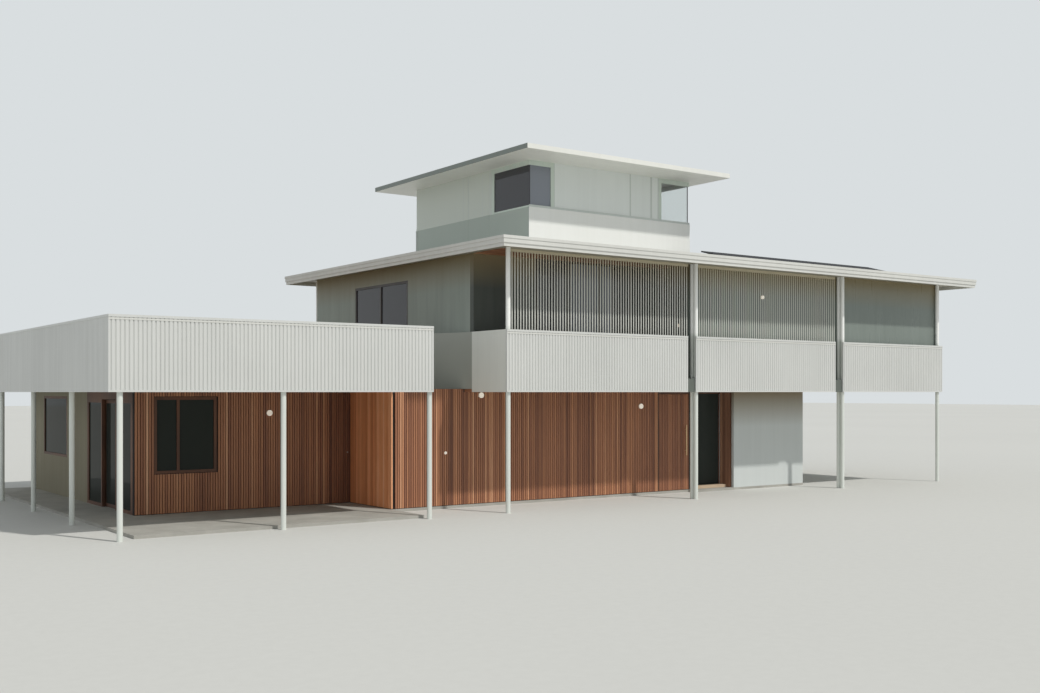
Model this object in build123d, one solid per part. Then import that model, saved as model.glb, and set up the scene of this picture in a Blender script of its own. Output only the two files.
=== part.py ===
from build123d import *
from math import cos, radians, sin
import os

# Beach house in two volumes, all sizes in millimetres.
# x runs along the front from the left end of bay 1, y runs into the house
# from the face of the front bands, z is up from the ground.

# Levels
slab_rise = 60
soffit_level = 2550
floor_depth = 320
balustrade_height = 1000
upper_room_height = 2730
roof_depth = 135
popup_sill_rise = 1335
popup_window_height = 1140
popup_roof_depth = 115

# Plan of the main volume and of the wing
bay_1_width = 5210
bay_2_width = 5050
bay_3_width = 4350
bay_gap_1 = 265
bay_gap_2 = 310
main_depth = 9300
recess_width = 1790
wing_width = 6400
wing_depth = 12400
veranda_depth = 1340

# Ribbed bands and their trims
rib_pitch = 76
rib_depth = 18
rib_groove = 30
band_thickness = 45
cap_height = 45
cap_proud = 8
base_trim_height = 30
sheet_joint = 0.5
cut_margin = 1

# Posts
post_diameter = 101.6
post_sheet_gap = 4
post_pair_spacing = 125
post_fit = 0.3
pair_post_inset = 85
corner_post_inset = 100
wing_left_post_inset = 220
wing_right_post_inset = 41
wing_middle_post_offset = 3190
wing_side_post_count = 4

# Slat screens
slat_width = 32
slat_depth = 50
slat_rail_height = 60
screen_post_gap = 80
screen_left_margin = 250

# Walls
wall_thickness = 140
timber_wall_thickness = 110
batten_depth = 30
timber_wall_setback = 1650
wing_wall_setback = 3550
wing_side_walkway = 1540
wing_back_margin = 140
main_back_margin = 300
terrace_setback = 300
return_wall_margin = 40
white_wall_setback = 1450
ground_room_right = 10925
white_wall_left = 8240
bay_3_wall_setback = 165
pier_wall_width = 1740
recess_roof_depth = 70

# Entry
door_right = 6810
door_width = 995
door_gap = 10
door_core = 55
door_sill_gap = 12
door_frame_width = 45
door_head_height = 45
entry_pier_width = 100
entry_glass_setback = 1910
entry_reveal_thickness = 40
entry_reveal_setback = 80
pull_height = 770
pull_bottom = 945
pull_diameter = 28
pull_standoff = 60
pull_edge_distance = 125
pull_post_diameter = 16
pull_post_inset = 120
hinge_radius = 12
hinge_height = 100
hinge_count = 3
running_gap = 0.3

# Windows and glazed doors
glass_thickness = 24
frame_width = 60
frame_depth = 70
leaf_frame_width = 70
leaf_thickness = 45
leaf_clearance = 12
terrace_door_run = 3310
terrace_leaf_overlap = 70
track_width = 12
ground_head = 2450
wing_window_left = 400
wing_window_width = 1320
wing_window_mullion_offset = 500
wing_window_sill = 880
side_window_sill = 1000
side_window_width = 2200
side_window_back_margin = 1220
wing_back_window_left = 1300
ground_back_windows = 3
back_window_width = 2400
east_window_width = 1800
upper_window_head = 2350
upper_window_width = 2400
upper_back_windows = 4
upper_east_windows = 2
deck_window_left = 2720
deck_window_width = 2700
veranda_panes = 4

# Roofs
roof_front_overhang = 700
roof_back_overhang = 600
roof_left_overhang = 570
roof_right_overhang = 600
fascia_thickness = 60
fascia_drop = 90
fascia_cap_height = 60
fascia_cap_proud = 12
lower_fascia_height = 75
lower_fascia_step = 32

# Pop-up room
popup_left = 2680
popup_setback = 2900
popup_width = 5380
popup_room_depth = 5400
popup_wall_thickness = 120
popup_front_overhang = 1100
popup_side_overhang = 840
popup_right_overhang = 400
popup_jamb = 110
popup_head = 115
popup_sill_frame = 40
popup_corner_side = 1640
popup_corner_front = 794
popup_right_window = 1130
spandrel_step = 15

# Solar panels
solar_count = 7
solar_pitch = 987
solar_gap = 20
solar_length = 1650
solar_thickness = 35
solar_tilt = 15
solar_foot = 85
solar_high_edge = 2200
solar_right = 14700
solar_leg = 30
solar_rail_depth = 40
rack_shares = (0.25, 0.75)

# Wall lights
light_radius = 62
light_depth = 40
front_light_spots = [(440, 2480), (5180, 2200)]
wing_light_spot = (-3770, 2100)

# Levels worked out
floor_level = soffit_level + floor_depth
band_top = floor_level + balustrade_height
ceiling_level = floor_level + upper_room_height
roof_top = ceiling_level + roof_depth
popup_sill = roof_top + popup_sill_rise
popup_ceiling = popup_sill + popup_window_height
popup_top = popup_ceiling + popup_roof_depth

# Plan lines worked out
bay_1_right = bay_1_width
bay_2_left = bay_1_right + bay_gap_1
bay_2_right = bay_2_left + bay_2_width
bay_3_left = bay_2_right + bay_gap_2
main_right = bay_3_left + bay_3_width
wing_right = -recess_width
wing_left = wing_right - wing_width
post_radius = post_diameter / 2
post_line = band_thickness + post_sheet_gap + post_radius
pair_line = post_line + post_pair_spacing
screen_line = pair_line + post_radius - slat_depth / 2
screen_wall_setback = screen_line + slat_depth / 2 + post_sheet_gap
pair_post_1 = bay_2_left + pair_post_inset
pair_post_2 = bay_3_left + pair_post_inset
right_post = main_right - corner_post_inset
left_post = corner_post_inset
back_post_line = main_depth - post_line
back_wall_face = main_depth - bay_3_wall_setback
roof_left = -roof_left_overhang
roof_right = main_right + roof_right_overhang
roof_front = -roof_front_overhang
roof_back = main_depth + roof_back_overhang
centre_x = (wing_left - cap_proud + roof_right) / 2
centre_y = (roof_front + wing_depth + cap_proud) / 2

os.makedirs("parts", exist_ok=True)


def write(name, solids):
    """Moves the solids so that the origin is under the middle of the house, and writes one file."""
    moved = [Pos(-centre_x, -centre_y, 0) * solid for solid in solids]
    shape = moved[0] if len(moved) == 1 else Compound(children=moved)
    export_step(shape, f"parts/{name}.step")


def block(x0, x1, y0, y1, z0, z1):
    middle = Pos((x0 + x1) / 2, (y0 + y1) / 2, (z0 + z1) / 2)
    return middle * Box(x1 - x0, y1 - y0, z1 - z0)


def post(x, y, z0, z1):
    return Pos(x, y, (z0 + z1) / 2) * Cylinder(post_radius, z1 - z0)


def rib_profile(length):
    """Plan outline of a ribbed sheet along +x, with grooves in its front and a flat back."""
    count = int(length / rib_pitch)
    margin = (length - count * rib_pitch) / 2
    points = [(0, band_thickness), (0, 0)]
    for rib in range(count):
        groove = margin + (rib + 0.5) * rib_pitch
        points.append((groove - rib_groove / 2, 0))
        points.append((groove, rib_depth))
        points.append((groove + rib_groove / 2, 0))
    points += [(length, 0), (length, band_thickness)]
    return make_face(Polyline(points, close=True))


def band(length, z0, z1, ribbed=True):
    """Balustrade sheet from x = 0 to length with its capping and base trim, outer face at y = 0."""
    sheet_bottom = z0 + base_trim_height
    sheet_top = z1 - cap_height
    if ribbed:
        sheet_height = sheet_top - sheet_bottom
        sheet = Pos(0, 0, sheet_bottom) * extrude(rib_profile(length), sheet_height, dir=(0, 0, 1))
    else:
        sheet = block(0, length, 0, band_thickness, sheet_bottom, sheet_top)
    base = block(0, length, 0, band_thickness, z0, sheet_bottom)
    cap = block(0, length, -cap_proud, band_thickness, sheet_top, z1)
    return sheet + base + cap


def facing_west(shape):
    """Turns a piece made along +x, facing -y, so that it faces -x and runs towards -y."""
    return Rot(0, 0, -90) * shape


def facing_east(shape):
    return Rot(0, 0, 90) * shape


def facing_back(shape):
    return Rot(0, 0, 180) * shape


def frame_along_x(x0, x1, z0, z1, y, width, depth, bars=()):
    """Window frame in a wall that runs along x, with upright bars at the given middles."""
    frame = block(x0, x1, y, y + depth, z0, z1)
    edges = [x0] + list(bars) + [x1]
    for i in range(len(edges) - 1):
        left = edges[i] + (width if i == 0 else width / 2)
        right = edges[i + 1] - (width if i == len(edges) - 2 else width / 2)
        frame -= block(left, right, y - cut_margin, y + depth + cut_margin, z0 + width, z1 - width)
    return frame


def panes_along_x(x0, x1, z0, z1, y, width, depth, bars=()):
    """Glass sheets that fill frame_along_x."""
    panes = []
    edges = [x0] + list(bars) + [x1]
    middle = y + depth / 2
    for i in range(len(edges) - 1):
        left = edges[i] + (width if i == 0 else width / 2)
        right = edges[i + 1] - (width if i == len(edges) - 2 else width / 2)
        panes.append(block(left, right, middle - glass_thickness / 2, middle + glass_thickness / 2,
                           z0 + width, z1 - width))
    return panes


def swap(shape):
    """Mirrors a piece made along x into one along y, with x and y exchanged."""
    return mirror(Rot(0, 0, 90) * shape, about=Plane.YZ)


def hole(x0, x1, z0, z1, y0, y1):
    """Block that cuts a window or doorway through a wall that runs along x, from y0 to y1."""
    return block(x0, x1, y0 - cut_margin, y1 + cut_margin, z0, z1)


def spread(start, end, count, width):
    """Left edges of windows of one width, evenly spread along a wall."""
    pitch = (end - start) / count
    return [start + (i + 0.5) * pitch - width / 2 for i in range(count)]


# Ground floor slabs, under the rooms and under the covered terrace
slab_left = wing_right - return_wall_margin
main_back_face = main_depth - main_back_margin
house_slab = block(slab_left, ground_room_right, timber_wall_setback, main_back_face, 0, slab_rise)
terrace_left = wing_left + terrace_setback + wing_left_post_inset
house_slab += block(door_right, ground_room_right, white_wall_setback, timber_wall_setback, 0, slab_rise)
terrace_slab = block(terrace_left, slab_left - sheet_joint, terrace_setback, wing_depth - wing_back_margin,
                     0, slab_rise)
write("ground_slab", [house_slab, terrace_slab])

# Timber front wall of the main volume, up to the front door, with a shadow gap at its left corner
nib_face = slab_left + batten_depth
nib_back = nib_face + timber_wall_thickness
timber_face = timber_wall_setback + batten_depth
timber_back = timber_face + timber_wall_thickness
door_left = door_right - door_width
opening_left = door_left - door_gap
opening_right = door_right + door_gap
frame_left = opening_left - door_frame_width
timber_front_wall = block(nib_back, frame_left, timber_face, timber_back, slab_rise, soffit_level)
write("timber_front_wall", [timber_front_wall])


def wall_light(x, z, face):
    """Round light that stands out of the battens and reaches back to the wall."""
    depth = light_depth + batten_depth
    return Pos(x, face - depth / 2, z) * Rot(90, 0, 0) * Cylinder(light_radius, depth)


# Timber return wall at the terrace
wing_wall_face = wing_wall_setback + batten_depth
timber_return_wall = block(nib_face, nib_back, timber_face, wing_wall_face, slab_rise, soffit_level)
write("timber_return_wall", [timber_return_wall])

# Front wall of the wing with its corner window
wing_room_left = wing_left + wing_side_walkway
wing_wall_back = wing_wall_face + timber_wall_thickness
wing_window_x0 = wing_room_left + wing_window_left
wing_window_x1 = wing_window_x0 + wing_window_width
wing_front_wall = block(wing_room_left, nib_back, wing_wall_face, wing_wall_back, slab_rise, soffit_level)
wing_front_wall -= hole(wing_window_x0, wing_window_x1, wing_window_sill, ground_head,
                        wing_wall_face, wing_wall_back)
write("wing_front_wall", [wing_front_wall])
lights = [wall_light(x, z, timber_face) for x, z in front_light_spots]
lights.append(wall_light(*wing_light_spot, wing_wall_face))
write("wall_lights", lights)

# Pale side wall of the wing, past the terrace doors
side_wall_start = wing_wall_back + terrace_door_run
wing_back_face = wing_depth - wing_back_margin
wing_inner_back = wing_back_face - wall_thickness
wing_side_wall = block(wing_room_left, wing_room_left + wall_thickness, side_wall_start, wing_inner_back,
                       slab_rise, soffit_level)
side_window_y1 = wing_inner_back - side_window_back_margin
side_window_y0 = side_window_y1 - side_window_width
wing_side_wall -= swap(hole(side_window_y0, side_window_y1, side_window_sill, ground_head,
                            wing_room_left, wing_room_left + wall_thickness))
write("wing_side_wall", [wing_side_wall])

# Back wall of the wing, turning the corner to the back of the main volume
main_back_inner = main_back_face - wall_thickness
wing_back_wall = block(wing_room_left, nib_back, wing_inner_back, wing_back_face, slab_rise, soffit_level)
wing_back_wall += block(nib_back - wall_thickness, nib_back, main_back_face, wing_inner_back,
                        slab_rise, soffit_level)
wing_back_window_x0 = wing_room_left + wing_back_window_left
wing_back_window_x1 = wing_back_window_x0 + back_window_width
wing_back_wall -= hole(wing_back_window_x0, wing_back_window_x1, side_window_sill, ground_head,
                       wing_inner_back, wing_back_face)
write("wing_back_wall", [wing_back_wall])

# White wall right of the entry, turning in at the entry recess
entry_glass_back = entry_glass_setback + frame_depth
white_wall_back = white_wall_setback + wall_thickness
white_wall = block(white_wall_left, ground_room_right, white_wall_setback, white_wall_back,
                   slab_rise, soffit_level)
white_wall += block(white_wall_left, white_wall_left + wall_thickness, white_wall_back,
                    entry_glass_back, slab_rise, soffit_level)
write("white_wall", [white_wall])

# East and back walls of the ground floor
east_inner = ground_room_right - wall_thickness
east_ground_wall = block(east_inner, ground_room_right, white_wall_back, main_back_inner,
                         slab_rise, soffit_level)
east_window_y0 = main_depth / 2 - east_window_width / 2
east_window_y1 = main_depth / 2 + east_window_width / 2
east_ground_wall -= swap(hole(east_window_y0, east_window_y1, side_window_sill, ground_head,
                              east_inner, ground_room_right))
write("east_ground_wall", [east_ground_wall])
back_wall_left = nib_back - wall_thickness
back_ground_wall = block(back_wall_left, ground_room_right, main_back_inner, main_back_face,
                         slab_rise, soffit_level)
back_window_lefts = spread(back_wall_left, ground_room_right, ground_back_windows, back_window_width)
for left in back_window_lefts:
    back_ground_wall -= hole(left, left + back_window_width, side_window_sill, ground_head,
                             main_back_inner, main_back_face)
write("back_ground_wall", [back_ground_wall])

# Window frames of the ground floor
wing_mullion = wing_window_x0 + wing_window_mullion_offset
ground_frames = [frame_along_x(wing_window_x0, wing_window_x1, wing_window_sill, ground_head,
                               wing_wall_face, frame_width, frame_depth, [wing_mullion])]
ground_glass = panes_along_x(wing_window_x0, wing_window_x1, wing_window_sill, ground_head,
                             wing_wall_face, frame_width, frame_depth, [wing_mullion])
for left in back_window_lefts:
    args = (left, left + back_window_width, side_window_sill, ground_head, main_back_face - frame_depth,
            frame_width, frame_depth, [left + back_window_width / 2])
    ground_frames.append(frame_along_x(*args))
    ground_glass += panes_along_x(*args)
args = (wing_back_window_x0, wing_back_window_x1, side_window_sill, ground_head, wing_back_face - frame_depth,
        frame_width, frame_depth, [wing_back_window_x0 + back_window_width / 2])
ground_frames.append(frame_along_x(*args))
ground_glass += panes_along_x(*args)
args = (east_window_y0, east_window_y1, side_window_sill, ground_head, ground_room_right - frame_depth,
        frame_width, frame_depth)
ground_frames.append(swap(frame_along_x(*args)))
ground_glass += [swap(pane) for pane in panes_along_x(*args)]
args = (side_window_y0, side_window_y1, side_window_sill, ground_head, wing_room_left,
        frame_width, frame_depth)
ground_frames.append(swap(frame_along_x(*args)))
ground_glass += [swap(pane) for pane in panes_along_x(*args)]

# Terrace doors: two fixed lights on the outer track and one sliding leaf on the inner track
terrace_y0 = wing_wall_back
terrace_y1 = side_wall_start
terrace_inner_width = terrace_y1 - terrace_y0 - 2 * frame_width
light_width = (terrace_inner_width + 2 * terrace_leaf_overlap) / 3
leaf_y0 = terrace_y0 + frame_width + light_width - terrace_leaf_overlap
leaf_y1 = leaf_y0 + light_width
leaf_x0 = wing_room_left + wall_thickness - leaf_clearance - leaf_thickness
leaf_x1 = leaf_x0 + leaf_thickness
leaf_z0 = slab_rise + leaf_clearance
leaf_z1 = ground_head - frame_width - leaf_clearance
frame_head = ground_head - frame_width
terrace_x1 = wing_room_left + wall_thickness
jamb_top = frame_head - sheet_joint
clear_y0 = terrace_y0 + frame_width
clear_y1 = terrace_y1 - frame_width
ground_frames.append(block(wing_room_left, terrace_x1, terrace_y0, terrace_y1, frame_head, soffit_level))
for start, end in [(terrace_y0, clear_y0), (clear_y1, terrace_y1)]:
    ground_frames.append(block(wing_room_left, terrace_x1, start, end, slab_rise, jamb_top))
track_middle = (leaf_x0 + leaf_x1) / 2
ground_frames.append(block(track_middle - track_width / 2, track_middle + track_width / 2,
                           clear_y0 + sheet_joint, clear_y1 - sheet_joint, slab_rise, leaf_z0 - running_gap))
fixed_lights = [(clear_y0 + sheet_joint, leaf_y0 + terrace_leaf_overlap),
                (leaf_y1 - terrace_leaf_overlap, clear_y1 - sheet_joint)]
for start, end in fixed_lights:
    args = (start, end, slab_rise, jamb_top, wing_room_left, leaf_frame_width, frame_depth)
    ground_frames.append(swap(frame_along_x(*args)))
    ground_glass += [swap(pane) for pane in panes_along_x(*args)]
args = (leaf_y0, leaf_y1, leaf_z0, leaf_z1, leaf_x0, leaf_frame_width, leaf_thickness)
write("terrace_door", [swap(frame_along_x(*args))])
write("terrace_door_glass", [swap(pane) for pane in panes_along_x(*args)])

# Entry: timber frame round the door, glass set back beside it, timber lining on the right
opening_top = soffit_level - door_head_height
pier_right = opening_right + entry_pier_width
reveal_left = white_wall_left - entry_reveal_thickness
entry_frame = block(frame_left, pier_right, timber_wall_setback, timber_back, slab_rise, soffit_level)
entry_frame -= hole(opening_left, opening_right, slab_rise - cut_margin, opening_top,
                    timber_wall_setback, timber_back)
entry_frame += block(opening_right, pier_right, timber_back, entry_glass_back, slab_rise, soffit_level)
entry_frame += frame_along_x(pier_right, reveal_left, slab_rise, soffit_level, entry_glass_setback,
                             door_head_height, frame_depth)
reveal_front = white_wall_setback + entry_reveal_setback
entry_frame += block(reveal_left, white_wall_left, reveal_front, entry_glass_back,
                     slab_rise, soffit_level)
door_back = timber_face + door_core
door_bottom = slab_rise + door_sill_gap
door_top = opening_top - door_gap
hinge_x = door_left
hinge_y = door_back + hinge_radius + running_gap
for i in range(hinge_count):
    hinge_z = door_bottom + (door_top - door_bottom) * (2 * i + 1) / (2 * hinge_count)
    entry_frame += Pos(hinge_x, hinge_y, hinge_z) * Cylinder(hinge_radius, hinge_height)
write("entry_frame", [entry_frame])
ground_glass += panes_along_x(pier_right, reveal_left, slab_rise, soffit_level, entry_glass_setback,
                              door_head_height, frame_depth)
write("ground_glass", ground_glass)
write("ground_window_frames", ground_frames)

# Front door with a long pull bar on two short posts
door_face = timber_wall_setback
front_door = block(door_left, door_right, door_face, door_back, door_bottom, door_top)
write("front_door", [front_door])
pull_x = door_right - pull_edge_distance
pull_y = door_face - pull_standoff
pull = Pos(pull_x, pull_y, pull_bottom + pull_height / 2) * Cylinder(pull_diameter / 2, pull_height)
for z in (pull_bottom + pull_post_inset, pull_bottom + pull_height - pull_post_inset):
    stub = Rot(90, 0, 0) * Cylinder(pull_post_diameter / 2, pull_standoff)
    pull += Pos(pull_x, door_face - pull_standoff / 2, z) * stub
write("door_pull", [pull])

# Posts of the main volume, from the ground to the roof
post_spots = [(left_post, post_line), (pair_post_1, post_line), (pair_post_1, pair_line),
              (pair_post_2, post_line), (pair_post_2, pair_line), (right_post, post_line)]
back_post_spots = [(left_post, back_post_line), (pair_post_1, back_post_line),
                   (pair_post_2, back_post_line), (right_post, back_post_line)]
write("main_posts", [post(x, y, 0, ceiling_level) for x, y in post_spots + back_post_spots])

# Posts of the wing, from the ground to the deck
wing_left_post = wing_left + wing_left_post_inset
wing_right_post = wing_right - wing_right_post_inset
wing_middle_post = wing_right - wing_middle_post_offset
side_spacing = (wing_depth - 2 * post_line) / wing_side_post_count
wing_post_spots = [(wing_middle_post, post_line), (wing_right_post, post_line)]
for row in range(wing_side_post_count + 1):
    wing_post_spots.append((wing_left_post, post_line + row * side_spacing))
write("wing_posts", [post(x, y, 0, soffit_level) for x, y in wing_post_spots])

# Floor of the upper storey, with a square cut-out round each post
upper_floor = block(band_thickness, main_right - band_thickness, band_thickness, main_depth - band_thickness,
                    soffit_level, floor_level)
cut_out = post_radius + post_fit
for x, y in post_spots + back_post_spots:
    upper_floor -= hole(x - cut_out, x + cut_out, soffit_level - cut_margin, floor_level + cut_margin,
                        y - post_radius, y + post_radius)
write("upper_floor", [upper_floor])

# Decks of the wing and of the link, which curves round the recess
curve_centre = Pos(wing_right, veranda_depth, 0)
curve_outer = recess_width + band_thickness
wing_deck = block(wing_left + band_thickness, wing_right - band_thickness, band_thickness,
                  wing_depth - band_thickness, soffit_level, floor_level)
write("wing_deck", [wing_deck])
link_deck = block(wing_right - band_thickness, band_thickness, veranda_depth, main_depth - band_thickness,
                  soffit_level, floor_level)
link_cut = floor_depth + 2 * cut_margin
link_deck -= curve_centre * Pos(0, 0, (soffit_level + floor_level) / 2) * Cylinder(curve_outer, link_cut)
link_deck -= hole(wing_right - band_thickness - cut_margin, wing_right, soffit_level - cut_margin,
                  floor_level + cut_margin, veranda_depth, veranda_depth + curve_outer - cut_margin)

# Low roof in the recess, behind the timber wall
recess_roof = curve_centre * Pos(0, 0, soffit_level + recess_roof_depth / 2) * Cylinder(recess_width,
                                                                                     recess_roof_depth)
recess_roof &= block(wing_right, 0, timber_face, veranda_depth + recess_width, soffit_level,
                     soffit_level + recess_roof_depth)
write("link_deck", [link_deck, recess_roof])

# Ribbed bands of the main volume
bays = [(0, bay_1_width), (bay_2_left, bay_2_width), (bay_3_left, bay_3_width)]
for i, (left, width) in enumerate(bays):
    write(f"band_bay_{i + 1}", [Pos(left, 0, 0) * band(width, soffit_level, band_top)])
east_length = main_depth - 2 * band_thickness - 2 * sheet_joint
east_band = facing_east(band(east_length, soffit_level, band_top, ribbed=False))
back_band = facing_back(band(main_right + recess_width, soffit_level, band_top, ribbed=False))
write("back_bands", [Pos(main_right, band_thickness + sheet_joint, 0) * east_band,
                     Pos(main_right, main_depth, 0) * back_band])

# Smooth balustrade that runs back from the front, and curves round the recess above its low roof
return_wall = block(0, band_thickness, band_thickness, veranda_depth, soffit_level, band_top)
ring_bottom = soffit_level + recess_roof_depth
ring_height = band_top - ring_bottom
ring = Cylinder(curve_outer, ring_height) - Cylinder(recess_width, ring_height + 2 * cut_margin)
ring = curve_centre * Pos(0, 0, (ring_bottom + band_top) / 2) * ring
ring &= block(wing_right, band_thickness, veranda_depth, veranda_depth + curve_outer, ring_bottom, band_top)
write("curved_balustrade", [return_wall + ring])

# Bands of the wing, ribbed on the front
write("wing_band_front", [Pos(wing_left, 0, 0) * band(wing_width, soffit_level, band_top)])
wing_west = facing_west(band(wing_depth - 2 * band_thickness, soffit_level, band_top, ribbed=False))
write("wing_band_west", [Pos(wing_left, wing_depth - band_thickness, 0) * wing_west])
wing_back = facing_back(band(wing_width, soffit_level, band_top, ribbed=False))
recess_length = veranda_depth + recess_width - band_thickness - 3 * sheet_joint
recess_side = facing_east(band(recess_length, soffit_level, band_top, ribbed=False))
rear_start = main_depth + cap_proud + sheet_joint
rear_length = wing_depth - band_thickness - sheet_joint - rear_start
rear_side = facing_east(band(rear_length, soffit_level, band_top, ribbed=False))
write("wing_back_bands", [Pos(wing_right, wing_depth, 0) * wing_back,
                          Pos(wing_right, band_thickness + sheet_joint, 0) * recess_side,
                          Pos(wing_right, rear_start, 0) * rear_side])


def slat_screen(x0, x1):
    """Upright slats between a foot rail and a head rail."""
    y0 = screen_line - slat_depth / 2
    y1 = screen_line + slat_depth / 2
    screen = block(x0, x1, y0, y1, floor_level, floor_level + slat_rail_height)
    screen += block(x0, x1, y0, y1, ceiling_level - slat_rail_height, ceiling_level)
    count = int((x1 - x0 - slat_width) / rib_pitch) + 1
    first = x0 + (x1 - x0 - slat_width - (count - 1) * rib_pitch) / 2
    slats = []
    for i in range(count):
        left = first + i * rib_pitch
        slats.append(block(left, left + slat_width, y0, y1, floor_level + slat_rail_height,
                           ceiling_level - slat_rail_height))
    return screen.fuse(*slats)


# Slat screens of bays 1 and 2
write("screen_bay_1", [slat_screen(screen_left_margin, pair_post_1 - post_radius - screen_post_gap)])
write("screen_bay_2", [slat_screen(pair_post_1 + post_radius + screen_post_gap,
                                   pair_post_2 - post_radius - screen_post_gap)])

# Upper walls: pier and return of the veranda, walls of bays 2 and 3, sides and back
veranda_back = veranda_depth + wall_thickness
return_left = pair_post_1 - post_radius
return_right = return_left + wall_thickness
screen_wall_back = screen_wall_setback + wall_thickness
bay_3_wall_left = pair_post_2 + post_radius + post_sheet_gap
wall_right = main_right - band_thickness
upper_inner_left = band_thickness + wall_thickness
upper_back_inner = back_wall_face - wall_thickness
veranda_wall = block(band_thickness, pier_wall_width, veranda_depth, veranda_back, floor_level, ceiling_level)
veranda_return = block(return_left, return_right, screen_wall_back, veranda_back, floor_level, ceiling_level)
write("veranda_wall", [veranda_wall, veranda_return])
bay_2_wall = block(return_left, bay_3_wall_left + wall_thickness, screen_wall_setback, screen_wall_back,
                   floor_level, ceiling_level)
bay_3_wall = block(bay_3_wall_left, wall_right, bay_3_wall_setback, screen_wall_setback,
                   floor_level, ceiling_level)
write("front_upper_wall", [bay_2_wall + bay_3_wall])
east_upper_wall = block(wall_right - wall_thickness, wall_right, screen_wall_setback, upper_back_inner,
                        floor_level, ceiling_level)
west_upper_wall = block(band_thickness, upper_inner_left, veranda_back, upper_back_inner,
                        floor_level, ceiling_level)
back_upper_wall = block(band_thickness, wall_right, upper_back_inner, back_wall_face,
                        floor_level, ceiling_level)
upper_frames = []
upper_glass = []
upper_head = floor_level + upper_window_head
for left in spread(band_thickness, wall_right, upper_back_windows, upper_window_width):
    back_upper_wall -= hole(left, left + upper_window_width, band_top, upper_head,
                            upper_back_inner, back_wall_face)
    args = (left, left + upper_window_width, band_top, upper_head, back_wall_face - frame_depth,
            frame_width, frame_depth, [left + upper_window_width / 2])
    upper_frames.append(frame_along_x(*args))
    upper_glass += panes_along_x(*args)
for left in spread(screen_wall_setback, upper_back_inner, upper_east_windows, upper_window_width):
    east_upper_wall -= swap(hole(left, left + upper_window_width, band_top, upper_head,
                                 wall_right - wall_thickness, wall_right))
    args = (left, left + upper_window_width, band_top, upper_head, wall_right - frame_depth,
            frame_width, frame_depth, [left + upper_window_width / 2])
    upper_frames.append(swap(frame_along_x(*args)))
    upper_glass += [swap(pane) for pane in panes_along_x(*args)]
deck_window_y0 = veranda_back + deck_window_left
deck_window_y1 = deck_window_y0 + deck_window_width
west_upper_wall -= swap(hole(deck_window_y0, deck_window_y1, floor_level, upper_head,
                             band_thickness, upper_inner_left))
args = (deck_window_y0, deck_window_y1, floor_level, upper_head, band_thickness, frame_width, frame_depth,
        [deck_window_y0 + deck_window_width / 2])
upper_frames.append(swap(frame_along_x(*args)))
upper_glass += [swap(pane) for pane in panes_along_x(*args)]
pane_pitch = (return_left - pier_wall_width) / veranda_panes
veranda_bars = [pier_wall_width + pane_pitch * i for i in range(1, veranda_panes)]
args = (pier_wall_width, return_left, floor_level, ceiling_level, veranda_depth, frame_width, frame_depth,
        veranda_bars)
upper_frames.append(frame_along_x(*args))
upper_glass += panes_along_x(*args)
write("side_upper_walls", [west_upper_wall, east_upper_wall])
write("back_upper_wall", [back_upper_wall])

# Main roof and the fascia round it, which has a cap and a thinner lip below the ceiling
inner = fascia_thickness
main_roof = block(roof_left + inner, roof_right - inner, roof_front + inner, roof_back - inner,
                  ceiling_level, roof_top)
write("main_roof", [main_roof])
fascia_bottom = ceiling_level - fascia_drop
fascia_break = fascia_bottom + lower_fascia_height
cap_bottom = roof_top - fascia_cap_height
main_fascia = block(roof_left, roof_right, roof_front, roof_back, cap_bottom, roof_top)
fascia_steps = [(fascia_cap_proud, fascia_break, cap_bottom),
                (lower_fascia_step, fascia_bottom, fascia_break)]
for step, z0, z1 in fascia_steps:
    main_fascia += block(roof_left + step, roof_right - step, roof_front + step, roof_back - step, z0, z1)
main_fascia -= block(roof_left + inner, roof_right - inner, roof_front + inner, roof_back - inner,
                     fascia_bottom - cut_margin, roof_top + cut_margin)
write("main_fascia", [main_fascia])

# Solar panels in one tilted row on upright racks
solar_left = solar_right - solar_count * solar_pitch
solar_rise = solar_length * sin(radians(solar_tilt))
solar_run = solar_length * cos(radians(solar_tilt))
solar_low_edge = solar_high_edge - solar_run
panels = []
for i in range(solar_count):
    panel = block(0, solar_pitch - solar_gap, 0, solar_length, 0, solar_thickness)
    spot = Pos(solar_left + i * solar_pitch, solar_low_edge, roof_top + solar_foot)
    panels.append(spot * Rot(solar_tilt, 0, 0) * panel)
write("solar_panels", panels)
rack_sides = [(solar_low_edge, 0), (solar_low_edge, solar_foot), (solar_high_edge, solar_foot + solar_rise),
              (solar_high_edge, 0)]
slope = solar_rise / solar_run
hole_front = solar_low_edge + solar_leg
hole_back = solar_high_edge - solar_leg
hole_top = solar_foot - solar_rail_depth
rack_hole = [(hole_front, solar_leg), (hole_front, hole_top + solar_leg * slope),
             (hole_back, hole_top + (hole_back - solar_low_edge) * slope), (hole_back, solar_leg)]
rack_plane = Plane(origin=(0, 0, roof_top), x_dir=(0, 1, 0), z_dir=(1, 0, 0))
rack = extrude(rack_plane * make_face(Polyline(rack_sides, close=True)), solar_leg, dir=(1, 0, 0))
rack -= extrude(rack_plane * make_face(Polyline(rack_hole, close=True)), solar_leg, dir=(1, 0, 0))
racks = []
for i in range(solar_count):
    for share in rack_shares:
        racks.append(Pos(solar_left + (i + share) * solar_pitch - solar_leg / 2, 0, 0) * rack)
write("solar_racks", racks)

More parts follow.
